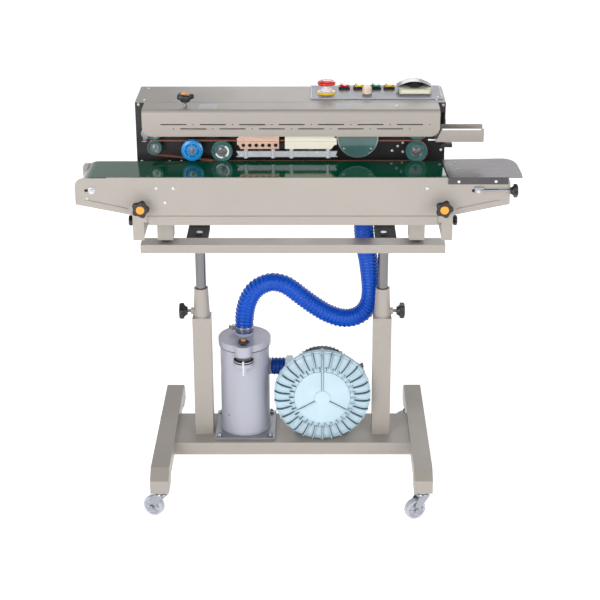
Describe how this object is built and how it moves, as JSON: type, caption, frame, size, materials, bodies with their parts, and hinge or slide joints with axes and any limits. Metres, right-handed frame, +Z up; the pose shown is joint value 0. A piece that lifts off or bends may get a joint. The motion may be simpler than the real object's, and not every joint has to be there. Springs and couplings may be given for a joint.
{
  "type": "continuous band sealer",
  "caption": "Floor-standing continuous band sealer: belt conveyor and sealing head on a wheeled telescopic stand with filter canister, ring blower and ribbed hoses.",
  "frame": {"origin": "centre of the footprint of the whole machine at floor level", "axes": "+X along the bag travel from infeed to outlet tray, +Y from the operator side to the back, +Z up"},
  "size_m": [0.979, 0.5096, 1.0103],
  "materials": {
    "beige_paint": "satin powder coat",
    "chrome": "polished",
    "zinc": "bright zinc",
    "stainless": "brushed",
    "black_plate": "satin",
    "black_plastic": "moulded",
    "lavender_paint": "satin",
    "ice_paint": "cast and painted",
    "motor_black": "cast and painted",
    "hose_blue": "ribbed",
    "belt_green": "glossy",
    "wheel_teal": "ground silicone",
    "wheel_blue": "glossy",
    "copper_block": "machined copper",
    "band_brown": "coated glass cloth",
    "console_grey": "satin",
    "red_plastic": "glossy",
    "yellow_plastic": "glossy",
    "green_plastic": "glossy",
    "ivory_plastic": "glossy",
    "instrument_grey": "moulded",
    "nylon_white": "moulded nylon",
    "cast_aluminium": "cast"
  },
  "bodies": {
    "stand": {"stand_base": "beige_paint", "post_left": "beige_paint", "post_right": "beige_paint", "filter_canister": "lavender_paint", "filter_lid": "lavender_paint", "blower_housing": "ice_paint", "blower_motor": "motor_black", "hose_main": "hose_blue", "hose_link": "hose_blue"},
    "head": {"rod_left": "chrome", "rod_right": "chrome", "top_frame": "beige_paint", "leg_frame": "beige_paint", "housing": "beige_paint", "front_plate": "black_plate", "guard": "beige_paint", "console": "console_grey", "temperature_controller": "instrument_grey", "exit_guide": "beige_paint", "lower_blocks": "copper_block", "upper_blocks": "copper_block", "band_lower": "band_brown", "band_upper": "band_brown", "gear_motor": "cast_aluminium"},
    "conveyor": {"conveyor_panel": "beige_paint", "conveyor_frame": "beige_paint", "conveyor_belt": "belt_green", "tray": "stainless"},
    "clamp_knob_left": {"clamp_knob_left": "black_plastic"},
    "clamp_knob_right": {"clamp_knob_right": "black_plastic"},
    "lid_knob": {"lid_knob": "black_plastic"},
    "blower_impeller": {"blower_impeller": "cast_aluminium"},
    "press_knob": {"press_knob": "black_plastic"},
    "emergency_stop": {"emergency_stop": "red_plastic"},
    "rocker_1": {"rocker_1": "red_plastic"},
    "rocker_2": {"rocker_2": "yellow_plastic"},
    "rocker_3": {"rocker_3": "green_plastic"},
    "rocker_4": {"rocker_4": "yellow_plastic"},
    "speed_knob": {"speed_knob": "ivory_plastic"},
    "blue_wheel": {"blue_wheel": "wheel_blue"},
    "idle_roller": {"idle_roller": "nylon_white"},
    "drive_roller": {"drive_roller": "zinc"},
    "tension_knob": {"tension_knob": "black_plastic"},
    "height_knob_left": {"height_knob_left": "black_plastic"},
    "side_knob_left": {"side_knob_left": "black_plastic"},
    "height_knob_right": {"height_knob_right": "black_plastic"},
    "side_knob_right": {"side_knob_right": "black_plastic"},
    "infeed_wheel_lower": {"infeed_wheel_lower": "wheel_teal"},
    "guide_wheel_lower": {"guide_wheel_lower": "wheel_teal"},
    "drive_wheel_lower": {"drive_wheel_lower": "wheel_teal"},
    "infeed_wheel_upper": {"infeed_wheel_upper": "wheel_teal"},
    "drive_wheel_upper": {"drive_wheel_upper": "wheel_teal"},
    "castor_fork_front_left": {"castor_fork_front_left": "zinc"},
    "castor_wheel_front_left": {"castor_wheel_front_left": "nylon_white"},
    "castor_fork_front_right": {"castor_fork_front_right": "zinc"},
    "castor_wheel_front_right": {"castor_wheel_front_right": "nylon_white"},
    "castor_fork_rear_left": {"castor_fork_rear_left": "zinc"},
    "castor_wheel_rear_left": {"castor_wheel_rear_left": "nylon_white"},
    "castor_fork_rear_right": {"castor_fork_rear_right": "zinc"},
    "castor_wheel_rear_right": {"castor_wheel_rear_right": "nylon_white"}
  },
  "joints": [
    {"name": "head_lift", "type": "slide", "parent": "stand", "child": "head", "axis": [0, 0, 1], "range_m": [-0.09, 0.1], "deforming": ["hose_main"]},
    {"name": "conveyor_height", "type": "slide", "parent": "head", "child": "conveyor", "axis": [0, 0, 1], "range_m": [-0.018, 0]},
    {"name": "castor_swivel_front_left", "type": "hinge", "parent": "stand", "child": "castor_fork_front_left", "pos_m": [-0.3295, -0.21475, 0.065], "axis": [0, 0, 1], "continuous": true},
    {"name": "castor_roll_front_left", "type": "hinge", "parent": "castor_fork_front_left", "child": "castor_wheel_front_left", "pos_m": [-0.34763, -0.2063, 0.025], "axis": [-0.4226, -0.9063, 0], "continuous": true},
    {"name": "castor_swivel_front_right", "type": "hinge", "parent": "stand", "child": "castor_fork_front_right", "pos_m": [0.2905, -0.21475, 0.065], "axis": [0, 0, 1], "continuous": true},
    {"name": "castor_roll_front_right", "type": "hinge", "parent": "castor_fork_front_right", "child": "castor_wheel_front_right", "pos_m": [0.27237, -0.2232, 0.025], "axis": [0.4226, -0.9063, 0], "continuous": true},
    {"name": "castor_swivel_rear_left", "type": "hinge", "parent": "stand", "child": "castor_fork_rear_left", "pos_m": [-0.3295, 0.22975, 0.065], "axis": [0, 0, 1], "continuous": true},
    {"name": "castor_roll_rear_left", "type": "hinge", "parent": "castor_fork_rear_left", "child": "castor_wheel_rear_left", "pos_m": [-0.3492, 0.23322, 0.025], "axis": [-0.1736, -0.9848, 0], "continuous": true},
    {"name": "castor_swivel_rear_right", "type": "hinge", "parent": "stand", "child": "castor_fork_rear_right", "pos_m": [0.2905, 0.22975, 0.065], "axis": [0, 0, 1], "continuous": true},
    {"name": "castor_roll_rear_right", "type": "hinge", "parent": "castor_fork_rear_right", "child": "castor_wheel_rear_right", "pos_m": [0.2707, 0.22697, 0.025], "axis": [0.1392, -0.9903, 0], "continuous": true},
    {"name": "clamp_knob_left_turn", "type": "hinge", "parent": "stand", "child": "clamp_knob_left", "pos_m": [-0.2505, -0.00475, 0.441], "axis": [-1, 0, 0], "range_deg": [-360, 360]},
    {"name": "height_knob_left_turn", "type": "hinge", "parent": "conveyor", "child": "height_knob_left", "pos_m": [-0.3445, -0.22475, 0.786], "axis": [0, -1, 0], "range_deg": [-360, 360]},
    {"name": "side_knob_left_turn", "type": "hinge", "parent": "head", "child": "side_knob_left", "pos_m": [-0.3535, -0.16475, 0.731], "axis": [-1, 0, 0], "range_deg": [-360, 360]},
    {"name": "clamp_knob_right_turn", "type": "hinge", "parent": "stand", "child": "clamp_knob_right", "pos_m": [0.2115, -0.00475, 0.441], "axis": [1, 0, 0], "range_deg": [-360, 360]},
    {"name": "height_knob_right_turn", "type": "hinge", "parent": "conveyor", "child": "height_knob_right", "pos_m": [0.3175, -0.22475, 0.786], "axis": [0, -1, 0], "range_deg": [-360, 360]},
    {"name": "side_knob_right_turn", "type": "hinge", "parent": "head", "child": "side_knob_right", "pos_m": [0.3265, -0.16475, 0.731], "axis": [1, 0, 0], "range_deg": [-360, 360]},
    {"name": "lid_knob_turn", "type": "hinge", "parent": "stand", "child": "lid_knob", "pos_m": [-0.136, -0.04875, 0.37], "axis": [0, 0, 1], "range_deg": [-360, 360]},
    {"name": "blower_spin", "type": "hinge", "parent": "stand", "child": "blower_impeller", "pos_m": [0.0535, -0.04275, 0.238], "axis": [0, 1, 0], "continuous": true},
    {"name": "drive_roller_spin", "type": "hinge", "parent": "conveyor", "child": "drive_roller", "pos_m": [0.3935, -0.15475, 0.8197], "axis": [0, 1, 0], "continuous": true},
    {"name": "idle_roller_spin", "type": "hinge", "parent": "conveyor", "child": "idle_roller", "pos_m": [-0.4531, -0.15475, 0.8197], "axis": [0, 1, 0], "continuous": true},
    {"name": "infeed_lower_spin", "type": "hinge", "parent": "head", "child": "infeed_wheel_lower", "pos_m": [-0.3251, -0.08675, 0.8785], "axis": [0, 1, 0], "continuous": true},
    {"name": "guide_lower_spin", "type": "hinge", "parent": "head", "child": "guide_wheel_lower", "pos_m": [-0.1738, -0.08675, 0.8702], "axis": [0, 1, 0], "continuous": true},
    {"name": "drive_lower_spin", "type": "hinge", "parent": "head", "child": "drive_wheel_lower", "pos_m": [0.2642, -0.08675, 0.8702], "axis": [0, 1, 0], "continuous": true},
    {"name": "infeed_upper_spin", "type": "hinge", "parent": "head", "child": "infeed_wheel_upper", "pos_m": [-0.3251, -0.08675, 0.9121], "axis": [0, 1, 0], "continuous": true},
    {"name": "drive_upper_spin", "type": "hinge", "parent": "head", "child": "drive_wheel_upper", "pos_m": [0.2642, -0.08675, 0.9204], "axis": [0, 1, 0], "continuous": true},
    {"name": "blue_wheel_spin", "type": "hinge", "parent": "head", "child": "blue_wheel", "pos_m": [-0.2401, -0.10275, 0.876], "axis": [0, 1, 0], "continuous": true},
    {"name": "emergency_stop_push", "type": "slide", "parent": "head", "child": "emergency_stop", "axis": [0, 0, -1], "range_m": [0, 0.004], "stiffness_N_per_m": 400, "springref_m": -0.001},
    {"name": "rocker_1_tip", "type": "hinge", "parent": "head", "child": "rocker_1", "pos_m": [0.1037, 0.04525, 0.981], "axis": [0, 1, 0], "range_deg": [-12, 0]},
    {"name": "rocker_2_tip", "type": "hinge", "parent": "head", "child": "rocker_2", "pos_m": [0.137, 0.04525, 0.981], "axis": [0, 1, 0], "range_deg": [-12, 0]},
    {"name": "rocker_3_tip", "type": "hinge", "parent": "head", "child": "rocker_3", "pos_m": [0.176, 0.04525, 0.981], "axis": [0, 1, 0], "range_deg": [-12, 0]},
    {"name": "rocker_4_tip", "type": "hinge", "parent": "head", "child": "rocker_4", "pos_m": [0.2068, 0.04525, 0.981], "axis": [0, 1, 0], "range_deg": [-12, 0]},
    {"name": "speed_knob_turn", "type": "hinge", "parent": "head", "child": "speed_knob", "pos_m": [0.1549, -0.00075, 0.985], "axis": [0, 0, 1], "range_deg": [-150, 150]},
    {"name": "press_knob_turn", "type": "hinge", "parent": "head", "child": "press_knob", "pos_m": [-0.2519, -0.10675, 0.98], "axis": [0, 0, 1], "range_deg": [-360, 360]},
    {"name": "tension_knob_turn", "type": "hinge", "parent": "conveyor", "child": "tension_knob", "pos_m": [0.4305, -0.22375, 0.821], "axis": [1, 0, 0], "range_deg": [-360, 360]}
  ],
  "couplings": [
    {"joint": "idle_roller_spin", "follows": "drive_roller_spin", "ratio": 1},
    {"joint": "infeed_lower_spin", "follows": "drive_roller_spin", "ratio": 1.6667},
    {"joint": "guide_lower_spin", "follows": "drive_roller_spin", "ratio": 1.095},
    {"joint": "drive_lower_spin", "follows": "drive_roller_spin", "ratio": 1.095},
    {"joint": "infeed_upper_spin", "follows": "drive_roller_spin", "ratio": -1.6667},
    {"joint": "drive_upper_spin", "follows": "drive_roller_spin", "ratio": -1.095},
    {"joint": "blue_wheel_spin", "follows": "drive_roller_spin", "ratio": 1.1042}
  ]
}
